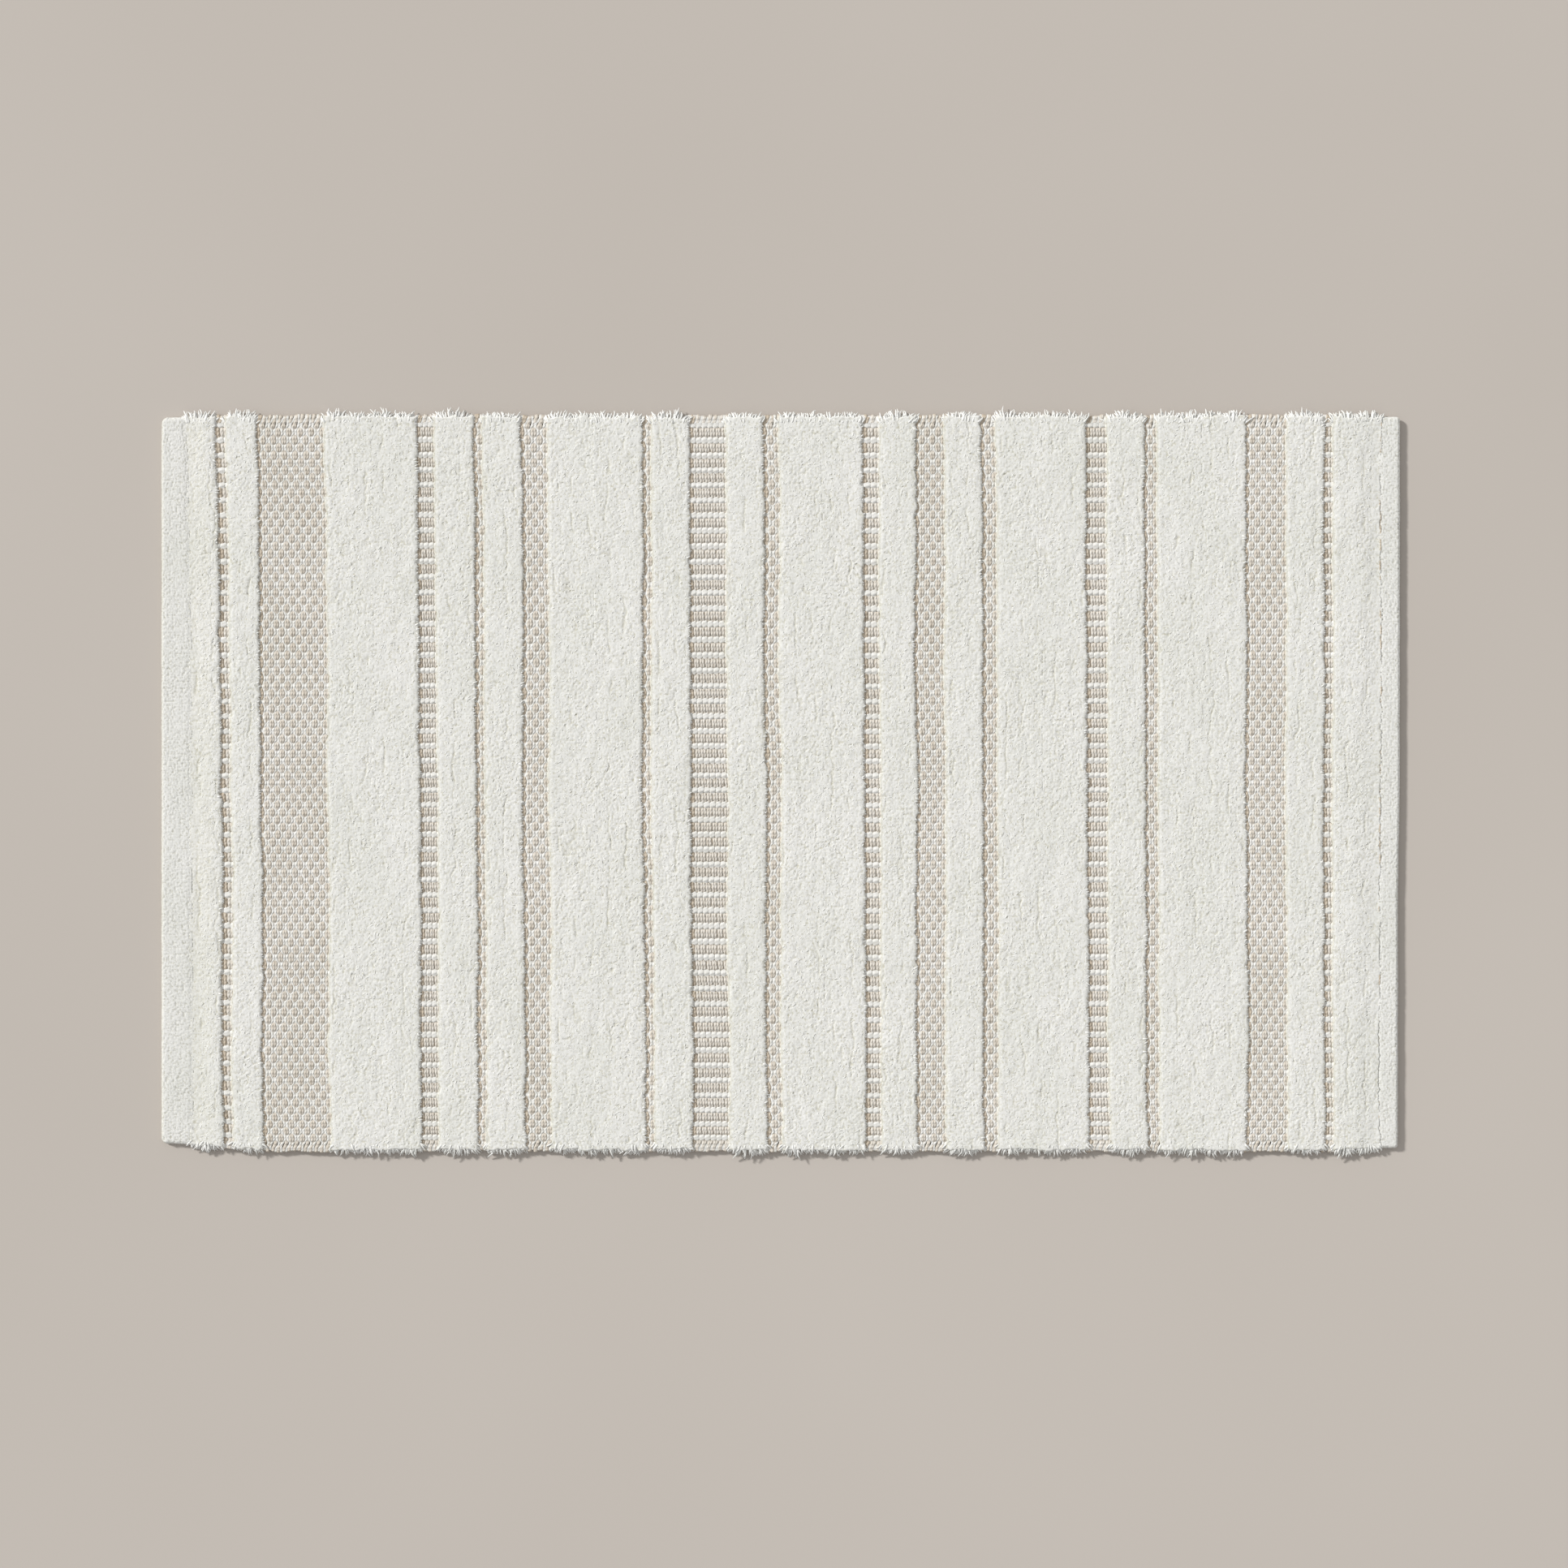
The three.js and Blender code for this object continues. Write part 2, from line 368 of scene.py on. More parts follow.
def band(number, x0, x1):
    """One woven band between its two edges: beige columns, white yarns between them and a bed below."""
    ladder = number in LADDER_BANDS
    pitch = LADDER_PITCH if ladder else BASKET_PITCH
    width = x1 - x0 + 2 * BAND_MARGIN
    columns = max(2, round(width / pitch))
    pitch = width / columns
    turn = (weave_y[None, :] - RIB_START) / RIB_PITCH
    middle = x0 - BAND_MARGIN + (np.arange(columns)[:, None] + 0.5) * pitch
    between = x0 - BAND_MARGIN + np.arange(columns + 1)[:, None] * pitch
    strand_painted_shade_and_tone = np.full(2 * columns, 0 if ladder else 0.3)
    # the first column's two strands lie in the pile's shade and get full painted shade; a basket band's
    # other strands get 0.3, their own darker tone
    strand_painted_shade_and_tone[:2] = 1
    cloth = Cloth()
    add_yarns(cloth, beige_strands(number, middle, pitch, turn, ladder), PLUMP, 0, 0, strand_painted_shade_and_tone)
    add_yarns(cloth, white_yarns(number, between, pitch, turn, ladder), FLAT_TOPPED, 2 * columns, 1)
    points, faces = bed(x0 + 0.1, x1 - 0.1, LADDER_BED if ladder else BASKET_BED)
    box = (x0, x1, -HALF_WIDTH, HALF_WIDTH)
    uvs = [plan_uv(points, f, box, 3 * columns + 1, YARN_SLOTS) for f in faces]
    # painted shade at half strength on the bed down between the floats; only the beige cotton shows it
    cloth.add(points, faces, uvs, 0 if ladder else 1, np.full(len(points), 0.5))
    return cloth


# ---- pile stripe ----
def granules(x, y, pitch, loose, seed):
    """Rounded grains on a jittered grid: 1 at a grain's crown, 0 in the crevices between them."""
    cx, cy = np.floor(x / pitch).astype(np.int64), np.floor(y / pitch).astype(np.int64)
    near = np.full(np.shape(x), 9.0)
    for i in (-1, 0, 1):
        for j in (-1, 0, 1):
            px = cx + i + 0.5 + loose * lattice(cx + i, cy + j, seed)
            py = cy + j + 0.5 + loose * lattice(cx + i, cy + j, seed + 1)
            near = np.minimum(near, (x / pitch - px) ** 2 + (y / pitch - py) ** 2)
    return np.clip(1 - near / 0.55, 0, 1)


def slope(distance, width):
    """0 well inside a stripe, rising to 1 at a side whose slope has this width."""
    return np.clip(1 - distance / width, 0, 1)


def rounding(distance, radius):
    """How far a rounded edge has dropped at this distance from the side."""
    return radius * (1 - np.sqrt(1 - np.clip(1 - distance / radius, 0, 1) ** 2))


def partings(x, y, seed):
    """The clefts where neighbouring rows of tufts fall apart: 0 outside them, 1 at the bottom."""
    wander = 2.2 * noise(x, y, 19, 11, seed) + 1.1 * noise(x, y, 7, 4.5, seed + 5)
    line = np.abs(((x + wander) / 12.0 + 0.5) % 1 - 0.5) * 12.0
    along = smooth(2.6 * noise(x, y, 9, 14, seed + 1) - 0.5)
    curl = np.exp(-((noise(x, y, 3.6, 5.4, seed + 2) / 0.11) ** 2))
    curl = curl * smooth(3 * noise(x, y, 6, 8, seed + 3) - 0.2)
    return np.maximum(along * np.exp(-((line / 0.55) ** 2)), 0.5 * curl)


def surface(x, y, x0, x1, left, right, seed):
    """Height of the pile and the painted shade at each point, darkest down in the crevices. left and right
    tell what its sides are:
    0 runs on into the next piece, STEEP drops to a band, and more is the width of a slope down to a hem."""
    z = PILE_CORE + 0.15 * noise(x, y, 8, 17, seed + 7) + 0.15 * noise(x, y, 3.4, 4.4, seed + 8)
    amount = 1 + 0.45 * noise(x, y, 13, 21, seed + 9)
    grain = granules(x, y, GRAIN_PITCH, 0.42, seed + 10)
    cleft = partings(x, y, seed + 40)
    z = z + PILE_GRAIN * amount * (grain - 0.6) - 0.38 * cleft
    # painted shade: darker down in the partings and in the crevices between grains
    depth = np.clip(0.9 * cleft + 0.8 * amount * smooth(1 - grain / 0.42), 0, 1)
    # the slopes to the hems, each down to its own height; the left one, which faces the light, gets a
    # little warm painted shade to dull it
    for distance, width, foot, painted_slope_shade in ((x - x0, left, 4.1, 0.24), (x1 - x, right, 4.3, 0)):
        if width > STEEP:
            fall = slope(distance, width)
            z = z - (PILE_CORE - foot) * smooth(fall)
            depth = np.clip(depth + painted_slope_shade * smooth(3 * fall), 0, 1)
    if left == STEEP:
        # the side towards the light lies lower and softer, and painted shade dulls its lit edge
        z = z - 0.35 * smooth(slope(x - x0, 2.6))
        depth = np.maximum(depth, slope(x - x0, STEEP))
    if right == STEEP:
        z = z - rounding(x1 - x, 0.3) - 0.3 * smooth(slope(x1 - x, 1.8))
    return z - rounding(PILE_END - np.abs(y), 1.0), depth


def ragged(y, seed):
    """How far a stripe's side swells out over the band."""
    return 0.45 + 0.6 * noise(0, y, 1, 2.4, seed) + 0.75 * noise(0, y, 1, 6.0, seed + 1)


def loaf(x0, x1, left, right, seed):
    """The pile as one closed, grainy body: points, painted shades and faces."""
    nx, ny = max(8, round((x1 - x0) / 0.62)), round(2 * PILE_END / 0.66)
    # where the next piece carries on, a last column slips in just under it
    columns = np.linspace(x0, x1, nx + 1)
    sunk = 0 * columns
    if not left:
        columns, sunk = np.append(x0 - 1.2, columns), np.append(0.14, sunk)
    if not right:
        columns, sunk = np.append(columns, x1 + 1.2), np.append(sunk, 0.14)
    gx, gy = np.meshgrid(columns, np.linspace(-PILE_END, PILE_END, ny + 1))
    z, depth = surface(gx, gy, x0, x1, left, right, seed)
    z = z - sunk
    end = slope(PILE_END - np.abs(gy), 6.0)
    swell = 0.3 + 0.6 * noise(gx, 0, 2.0, 1, seed + 60) + 1.0 * noise(gx, 0, 5.5, 1, seed + 61)
    out_y = np.sign(gy) * end * swell
    out_x = 0 * gx
    if left == STEEP:
        out_x = out_x - slope(gx - x0, 3.5) * ragged(gy, seed + 62)
    if right:
        out_x = out_x + slope(x1 - gx, 3.5) * ragged(gy, seed + 64)
    upper = np.stack([gx + out_x, gy + out_y, z], -1).reshape(-1, 3)
    at = np.arange(gx.size).reshape(gx.shape)
    top = grid_quads(at).reshape(-1, 4)
    rim = rim_of(at)
    straight = np.stack([gx, gy, z], -1).reshape(-1, 3)[rim]
    inward = np.sign((x0 + x1) / 2 - straight[:, :1]) * (0.3, 0)
    # the side goes down in two steps: a waist under the swelling edge, then the foot
    waist = np.concatenate([upper[rim][:, :2] * 0.5 + straight[:, :2] * 0.5, upper[rim][:, 2:] - 1.0], 1)
    foot = np.concatenate([straight[:, :2] + inward, np.full((len(rim), 1), 1.1)], 1)
    low = len(upper) + np.arange(len(rim))
    lower = low + len(rim)
    faces = [top, skirt(rim, low), skirt(low, lower), lower[None, ::-1]]
    # the side walls all get painted shade
    depths = np.concatenate([depth.ravel(), np.full(2 * len(rim), 0.8)])
    return np.concatenate([upper, waist, foot]), depths, faces


def strands(paths, radius, taper):
    """Round yarn ends along short paths (n, m, 3)."""
    width = radius[:, None] * np.array(taper)
    run = paths[:, -1] - paths[:, 0]
    side = unit(np.stack([-run[:, 1], run[:, 0], 0 * run[:, 0]], -1) + 1e-6)[:, None, :]
    return tubes(paths, width, width, side, polygon(4))


def lying_ends(x0, x1, left, right, seed, r):
    """Short ends that lie half sunk in the pile."""
    # they keep clear of the sides
    low, high = (min(6.0, max(1.2, width - 4)) if width else 0 for width in (left, right))
    count = round((x1 - x0) * 2 * HALF_WIDTH / 8)
    bx = r.uniform(x0 + low, x1 - high, count)
    by = r.uniform(-HALF_WIDTH + 2.5, HALF_WIDTH - 2.5, count)
    turn = 2 * np.pi * noise(bx, by, 6, 9, seed + 1) + r.normal(0, 0.9, count)
    half = r.uniform(1.0, 2.2, count)
    step = np.array([-1.0, -0.4, 0.35, 1.0])
    bend = r.uniform(-0.6, 0.6, count)[:, None] * (1 - step**2)
    px = bx[:, None] + half[:, None] * (np.cos(turn)[:, None] * step - np.sin(turn)[:, None] * bend)
    py = by[:, None] + half[:, None] * (np.sin(turn)[:, None] * step + np.cos(turn)[:, None] * bend)
    z = surface(px, py, x0, x1, left, right, seed)[0] + np.array([-0.62, -0.33, -0.30, -0.58])
    return strands(np.stack([px, py, z], -1), r.uniform(0.40, 0.55, count), (0.5, 1.0, 1.0, 0.5))


def side_ends(x, seed, r):
    """Ends that stick out over the band along a stripe's steep right side."""
    count = round(HALF_WIDTH - 2)
    y = np.linspace(-HALF_WIDTH + 2, HALF_WIDTH - 2, count) + r.uniform(-1, 1, count)
    out = r.uniform(0.1, 0.9, count) + ragged(y, seed + 64)
    slant = np.clip(r.normal(0, 0.9, count), -1.2, 1.2)
    z = PILE_CORE - 0.65 + r.uniform(-0.5, 0.1, count)
    px = x + np.stack([0 * out - 1.8, 0.3 * out - 0.5, 0.8 * out, out + 0.2], 1)
    py = y[:, None] + slant[:, None] * np.array([-0.5, 0.2, 0.9, 1.1])
    pz = z[:, None] - r.uniform(0.1, 0.7, count)[:, None] * np.array([0.2, 0.0, 0.8, 1.2])
    return strands(np.stack([px, py, pz], -1), r.uniform(0.6, 0.8, count), (1.0, 1.0, 0.85, 0.3))


def selvedge_ends(x0, x1, left, right, seed, r):
    """Ends that fan out past both selvedges in lobes, in three tiers."""
    lobes = max(1, round((x1 - x0) / 19))
    # for each tier: how far in it starts, its highest root, how far its ends drop, its reach, its spacing
    tiers = ((4.6, 5.25, 2.1, 0.65, 1.15), (2.8, 4.5, 2.4, 1.0, 1.2), (1.2, 3.2, 1.6, 0.85, 1.4))
    parts, sizes = [], []
    for back, start, drop, far, spacing in tiers:
        for sign in (-1, 1):
            count = round((x1 - x0) / spacing)
            bx = np.linspace(x0 + 0.6, x1 - 0.6, count) + r.uniform(-0.6, 0.6, count)
            turn = (bx - x0) / (x1 - x0) * lobes
            lobe = np.floor(turn).astype(np.int64)
            place = turn % 1 * 2 - 1
            bold = 1 + 0.35 * lattice(lobe, 0 * lobe + sign, seed)
            angle = np.radians(42) * place + r.normal(0, 0.18, count)
            length = (1.8 + 3.2 * (1 - place**2) * bold) * far * r.uniform(0.6, 1.2, count) + back
            length = length + np.where(r.random(count) < 0.05, 2.0, 0)
            bend = r.uniform(-0.25, 0.25, count) * length
            step = np.array([0.0, 0.35, 0.7, 1.0])
            kink = np.array([0.0, 0.6, 0.8, 0.0])
            # neighbours cling together in tufts
            gather = 0.55 * ((np.floor(bx / 3.1) + 0.5) * 3.1 - bx)
            px = bx[:, None] + (length * np.sin(angle) + gather)[:, None] * step + bend[:, None] * kink
            py = sign * (PILE_END - back + (length * np.cos(angle))[:, None] * step)
            by = sign * (PILE_END - back) + 0 * bx
            root = surface(bx, by, x0, x1, left, right, seed)[0] - 0.1
            root = np.minimum(start, root) + r.uniform(-0.25, 0.1, count)
            fall = (drop * r.uniform(0.3, 1.2, count))[:, None] * step**2
            pz = root[:, None] - fall - 0.75 * (1 - step) ** 3
            parts.append(np.stack([px, py, np.maximum(pz, 0.75)], -1))
            sizes.append(r.uniform(0.6, 0.9, count))
    return strands(np.concatenate(parts), np.concatenate(sizes), (1.0, 1.05, 0.85, 0.35))


def pile(x0, x1, left, right, seed, own):
    """A stripe or half of one. seed is the stripe's and shapes its surface, own draws this piece's ends."""
    r = np.random.default_rng(own)
    cloth = Cloth()
    box = (x0 - 5, x1 + 5, -HALF_WIDTH - 9, HALF_WIDTH + 9)
    points, depths, faces = loaf(x0, x1, left, right, seed)
    cloth.add(points, faces, [plan_uv(points, f, box) for f in faces], 0, depths)
    groups = [(lying_ends(x0, x1, left, right, seed, r), 0)]
    # slot 1, the lighter cotton, is painted light that keeps the selvedge and side ends bright in shade
    groups.append((selvedge_ends(x0, x1, left, right, seed, r), 1))
    if right == STEEP:
        groups.append((side_ends(x1, seed, r), 1))
    for (points, quads, caps), slot in groups:
        cloth.add(points, [quads, caps], [plan_uv(points, quads, box), plan_uv(points, caps, box)], slot)
    return cloth


# ---- hem ----
def hem(sign, outer, inner, seed):
    """The mat's end folded over and laid flat: one closed, grainy roll and flap."""
    radius = 2.2       # of the fold
    step = 0.6         # between grid points
    nose = outer - sign * radius
    flat = np.linspace(inner, nose, round(abs(nose - inner) / step) + 1)
    turn = np.linspace(np.pi / 2, -np.pi / 2, round(np.pi * radius / step) + 1)[1:]
    back = np.linspace(nose, inner, round(abs(nose - inner) / 3) + 1)[1:]
    rise = np.array([1.1, 2.0, 2.9, 3.6])
    x = np.concatenate([flat, nose + sign * radius * np.cos(turn), back, np.full(len(rise), inner)])
    z = np.concatenate([np.full(len(flat), 2 * radius), radius + radius * np.sin(turn), 0 * back, rise])
    nx = np.concatenate([0 * flat, sign * np.cos(turn), 0 * back, np.full(len(rise), -sign)])
    nz = np.concatenate([0 * flat + 1, np.sin(turn), 0 * back - 1, 0 * rise])
    grain = np.concatenate([0 * flat + 1, smooth((np.sin(turn) + 0.8) / 0.5), 0 * back, 0 * rise])
    tucked = smooth(slope(np.abs(x - inner), 3.5)) * (grain > 0)
    s = np.arange(len(x)) * step
    y1 = HALF_WIDTH - 0.9
    gy, gs = np.meshgrid(np.linspace(-y1, y1, round(2 * y1 / step) + 1), s, indexing="ij")
    bumps = granules(gs, gy, HEM_PITCH, 0.36, seed)
    amount = 1 + 0.35 * noise(gs, gy, 9, 14, seed + 3)
    # painted shade: darker in the crevices between grains, and on faces turned towards the light, where it
    # dulls their brightness
    depth = 0.9 * amount * smooth(1 - bumps / 0.42) * (grain > 0)
    depth = np.maximum(depth, np.clip(-nx, 0, 1))
    out = HEM_GRAIN * amount * (bumps - 0.6)
    out = out + 0.12 * noise(gs, gy, 7, 11, seed + 4) + 0.07 * noise(gs, gy, 3, 3.4, seed + 5)
    out = out * np.maximum(grain, 0.5 * (nx * sign > 0.3))
    px = x + nx * out
    # the flap's edge dives in under the pile, on the right not equally deep everywhere
    dive = 0.4 if sign < 0 else 0.62 + 0.28 * noise(0, gy, 1, 8, seed + 9)
    pz = z - dive * tucked + nz * out
    # the ends close in, and the outer corners are rounded off
    shut = 1 - np.sqrt(1 - 0.9 * np.clip((np.abs(gy) - (y1 - 2.2)) / 2.2, 0, 1) ** 2)
    size = 4.6 if sign < 0 else 2.6
    corner = 1 - np.sqrt(1 - np.clip((np.abs(gy) - (y1 - size)) / size, 0, 1) ** 2)
    reach = smooth(1 - np.abs(px - outer) / (size + 2))
    px = px - sign * 0.8 * size * corner * reach
    pz = pz + (1.7 - pz) * shut
    py = gy + np.sign(gy) * 0.35 * noise(gs, 0, 2.5, 1, seed + 6) * slope(y1 - np.abs(gy), 3.0)
    points = np.stack([px, py, np.maximum(pz, 0.02)], -1)
    at = np.arange(gy.size).reshape(gy.shape)
    nxt = np.roll(at, -1, 1)
    quads = np.stack([at[:-1], nxt[:-1], nxt[1:], at[1:]], -1).reshape(-1, 4)
    caps = np.stack([at[0, ::-1], at[-1]])
    if sign > 0:
        quads, caps = quads[:, ::-1], caps[:, ::-1]
    cloth = Cloth()
    u = np.broadcast_to(np.arange(len(x)) / len(x), gy.shape).ravel()
    v = (gy / (2 * y1) + 0.5).ravel()
    # the last column of faces runs on past u = 1 instead of back to 0
    quad_u = u[quads]
    quad_u = quad_u + (quad_u.max(1, keepdims=True) - quad_u > 0.5)
    quad_uv = np.stack([quad_u, v[quads]], -1)
    cap_uv = np.stack([np.full(caps.shape, 0.5), v[caps]], -1)
    cloth.add(points, [quads, caps], [quad_uv, cap_uv], 0, np.clip(depth, 0, 1))
    return cloth


def stitches(x, z, seed):
    """Sewing thread: a row of short stitches that dip into the cloth and mostly lie buried in it."""
    y = np.arange(-252, 252.01, 0.55)
    t = y / 11.0 + 0.3 * noise(0 * y, y, 5, 19, seed)
    dip = float_height(t, 0.6)
    buried = 0.7 * smooth(0.5 + 1.2 * noise(0 * y, y, 5, 17, seed + 3))
    px = x + 0.45 * noise(0 * y, y, 5, 14, seed + 1) + 0.2 * noise(0 * y, y, 5, 4, seed + 2)
    path = np.stack([px, y, z - 0.5 + 0.6 * dip - buried], -1)[None]
    w = np.full(path.shape[:2], 0.5)
    cloth = Cloth()
    points, quads, caps = tubes(path, w, w * 0.85, ACROSS, polygon(6))
    uq, uc = tube_uv(1, path.shape[1], 6, 0, 1)
    cloth.add(points, [quads, caps], [uq, uc], 0)
    return cloth


# ---- ground cloth ----
def ground(x0, x1, stripes):
    """A thin closed cloth with the weave's relief below, beige between each (start, end) of stripes."""
    cloth = Cloth()
    half = HALF_WIDTH - 0.5
    box = (x0, x1, -half, half)
    xs = np.linspace(x0, x1, round((x1 - x0) / 5.2) + 1)
    ys = np.linspace(-half, half, round(2 * half / 2.65) + 1)
    gx, gy = np.meshgrid(xs, ys)
    relief = 0.18 * np.cos(2 * np.pi * gy / RIB_PITCH) * np.cos(np.pi * (gx - x0) / 2.6)
    upper = np.stack([gx, gy, GROUND_TOP + 0.08 * noise(gx, gy, 6, 6, 900)], -1)
    lower = np.stack([gx, gy, np.maximum(0.18 + relief, 0.0)], -1)
    at = np.arange(gx.size).reshape(gx.shape)
    under = at + at.size
    top_faces = grid_quads(at)
    bottom_faces = np.stack([under[:-1, :-1], under[1:, :-1], under[1:, 1:], under[:-1, 1:]], -1)
    rim = rim_of(at)
    wall = skirt(rim, rim + at.size)
    points = np.concatenate([upper.reshape(-1, 3), lower.reshape(-1, 3)])
    mid = (xs[:-1] + xs[1:]) / 2
    in_band = np.zeros(len(mid), bool)
    for a, b in stripes:
        in_band |= (mid > a) & (mid < b)
    cloth.add(points, [], [], 0)
    # under the bands the ground takes slot 1, beige darkened with painted shade
    for slot, mask in ((0, ~in_band), (1, in_band)):
        for tile, faces in enumerate((top_faces, bottom_faces)):
            f = faces[:, mask].reshape(-1, 4)
            cloth.faces.append((f, plan_uv(points, f, box, tile, 2), slot))
    cloth.faces.append((wall, plan_uv(points, wall, box, 1, 2), 0))
    return cloth


# ---- materials ----
NO_TINT = (1.0, 1.0, 1.0)


def ramp(nt, fac, stops):
    """stops are (position, colour)."""
    node = nt.nodes.new("ShaderNodeValToRGB")
    e = node.color_ramp.elements
    while len(e) < len(stops):
        e.new(0.5)
    for el, (at, colour) in zip(e, stops):
        el.position, el.color = at, (*colour, 1)
    nt.links.new(fac, node.inputs["Fac"])
    return node.outputs["Color"]


def tinted(nt, colour, fac, stops):
    """colour, multiplied by a ramp of fac."""
    tint = ramp(nt, fac, stops)
    node = nt.nodes.new("ShaderNodeMix")
    node.data_type, node.blend_type = "RGBA", "MULTIPLY"
    node.inputs["Factor"].default_value = 1.0
    nt.links.new(colour, node.inputs["A"])
    nt.links.new(tint, node.inputs["B"])
    return node.outputs["Result"]


def speckle(nt, where, scale, detail=2.0, stretch=(1, 1, 1)):
    """Noise at the points where, its features longer along an axis whose stretch is under 1."""
    m = nt.nodes.new("ShaderNodeMapping")
    m.inputs["Scale"].default_value = stretch
    nt.links.new(where, m.inputs["Vector"])
    node = nt.nodes.new("ShaderNodeTexNoise")
    node.inputs["Scale"].default_value = scale
    node.inputs["Detail"].default_value = detail
    nt.links.new(m.outputs["Vector"], node.inputs["Vector"])
    return node.outputs["Fac"]


def cotton(name, dark, mid, light, broad, twist=None, painted_low_shade=None, painted_shade_and_tone_tint=None, painted_shade_specks=False, streak=None,
           fibre=0.4, grain=700):
    """Spun cotton: fine fibre speckle over slow changes of tone.
    twist is how many plies lie across and along the texture, and how strong their relief is.
    The low tint is (height, height, tint): painted shade, the yarn fades into the tint from the upper
    height down to the lower one.
    The crevice tint is painted shade down between grains, and on a basket band's yarns also their own
    darker tone; the specks switch scatters it in specks too.
    streak is the tint between the fibres of a yarn that runs along Y."""
    mat = bpy.data.materials.new(name)
    mat.use_nodes = True
    nt = mat.node_tree
    p = nt.nodes["Principled BSDF"]
    p.inputs["Roughness"].default_value = 0.93
    p.inputs["Specular IOR Level"].default_value = 0.15
    p.inputs["Sheen Weight"].default_value = 0.25
    p.inputs["Sheen Roughness"].default_value = 0.6
    where = nt.nodes.new("ShaderNodeTexCoord").outputs["Object"]
    fine = ramp(nt, speckle(nt, where, grain, 3.0), [(0.30, dark), (0.5, mid), (0.68, light)])
    slow = speckle(nt, where, 26, 2.0, (1, 0.6, 1))
    colour = tinted(nt, fine, slow, [(0.32, broad[0]), (0.66, broad[1])])
    # painted shade: the yarn darkens and warms low down, by height
    if painted_low_shade:
        split = nt.nodes.new("ShaderNodeSeparateXYZ")
        nt.links.new(where, split.inputs["Vector"])
        height = nt.nodes.new("ShaderNodeMapRange")
        height.inputs["From Min"].default_value = painted_low_shade[0] * MM
        height.inputs["From Max"].default_value = painted_low_shade[1] * MM
        nt.links.new(split.outputs["Z"], height.inputs["Value"])
        colour = tinted(nt, colour, height.outputs["Result"], [(0.0, painted_low_shade[2]), (1.0, NO_TINT)])
    # painted shade in the crevices, as deep as the mesh attribute says; a basket band's yarns also take
    # their own darker tone from it
    if painted_shade_and_tone_tint:
        low = nt.nodes.new("ShaderNodeAttribute")
        low.attribute_name = "depth"
        colour = tinted(nt, colour, low.outputs["Fac"], [(0.0, NO_TINT), (1.0, painted_shade_and_tone_tint)])
        # painted shade scattered in fine specks
        if painted_shade_specks:
            specks = speckle(nt, where, 1050, 1.0, (1, 0.62, 1))
            colour = tinted(nt, colour, specks, [(0.33, painted_shade_and_tone_tint), (0.42, NO_TINT)])
    if streak:
        fibres = speckle(nt, where, 1500, 1.0, (1, 0.2, 1))
        colour = tinted(nt, colour, fibres, [(0.40, streak), (0.54, NO_TINT)])
    nt.links.new(colour, p.inputs["Base Color"])
    hairs = nt.nodes.new("ShaderNodeBump")
    hairs.inputs["Strength"].default_value = fibre
    hairs.inputs["Distance"].default_value = 0.00012
    nt.links.new(speckle(nt, where, 2600, 1.0, (1, 0.3 if streak else 0.6, 1)), hairs.inputs["Height"])
    nt.links.new(hairs.outputs["Normal"], p.inputs["Normal"])
    if twist:
        uv = nt.nodes.new("ShaderNodeUVMap")
        uv.uv_map = "OFBake"
        dot = nt.nodes.new("ShaderNodeVectorMath")
        dot.operation = "DOT_PRODUCT"
        dot.inputs[1].default_value = (2 * math.pi * twist[0], 2 * math.pi * twist[1], 0)
        nt.links.new(uv.outputs["UV"], dot.inputs[0])
        sine = nt.nodes.new("ShaderNodeMath")
        sine.operation = "SINE"
        nt.links.new(dot.outputs["Value"], sine.inputs[0])
        plies = nt.nodes.new("ShaderNodeBump")
        plies.inputs["Strength"].default_value = twist[2]
        plies.inputs["Distance"].default_value = 0.00016
        nt.links.new(sine.outputs["Value"], plies.inputs["Height"])
        nt.links.new(plies.outputs["Normal"], hairs.inputs["Normal"])
    return mat


WHITE_TINTS = ((0.955, 0.96, 0.945), NO_TINT)
pile_cotton = cotton(
    "Pile cotton", (0.76, 0.76, 0.735), (0.80, 0.80, 0.775), (0.83, 0.83, 0.81), WHITE_TINTS,
    painted_shade_and_tone_tint=(0.83, 0.815, 0.745), painted_shade_specks=True, fibre=0.5, grain=420,
)
# a lighter copy of the pile's cotton without its crevice tint: painted light that keeps the loose ends
# bright where they hang in shade
loose_cotton_painted_light = cotton(
    "Loose yarn ends painted light", (0.80, 0.80, 0.78), (0.84, 0.84, 0.82), (0.87, 0.87, 0.855), WHITE_TINTS, grain=420
)
beige_cotton = cotton(
    "Beige weft", (0.63, 0.60, 0.545), (0.70, 0.67, 0.62), (0.755, 0.73, 0.685),
    ((0.94, 0.93, 0.91), NO_TINT), twist=(2 * YARN_SLOTS, 190, 0.7), streak=(0.91, 0.88, 0.84),
    painted_low_shade=(2.7, 3.9, (0.94, 0.87, 0.78)), painted_shade_and_tone_tint=(0.85, 0.785, 0.70), grain=520,
)
white_cotton = cotton(
    "White weft", (0.76, 0.755, 0.73), (0.80, 0.795, 0.775), (0.84, 0.835, 0.82), WHITE_TINTS,
    twist=(2 * YARN_SLOTS, 190, 0.6), streak=(0.92, 0.91, 0.88),
    painted_low_shade=(2.6, 3.8, (0.92, 0.88, 0.82)), grain=520,
)
hem_cotton = cotton(
    "Hem cotton", (0.74, 0.74, 0.715), (0.78, 0.78, 0.755), (0.81, 0.81, 0.79), WHITE_TINTS,
    painted_shade_and_tone_tint=(0.80, 0.79, 0.74), painted_shade_specks=True, fibre=0.6, grain=420,
)
ground_cotton = cotton(
    "Ground cotton", (0.62, 0.59, 0.53), (0.72, 0.70, 0.65), (0.80, 0.78, 0.74), WHITE_TINTS, grain=380
)
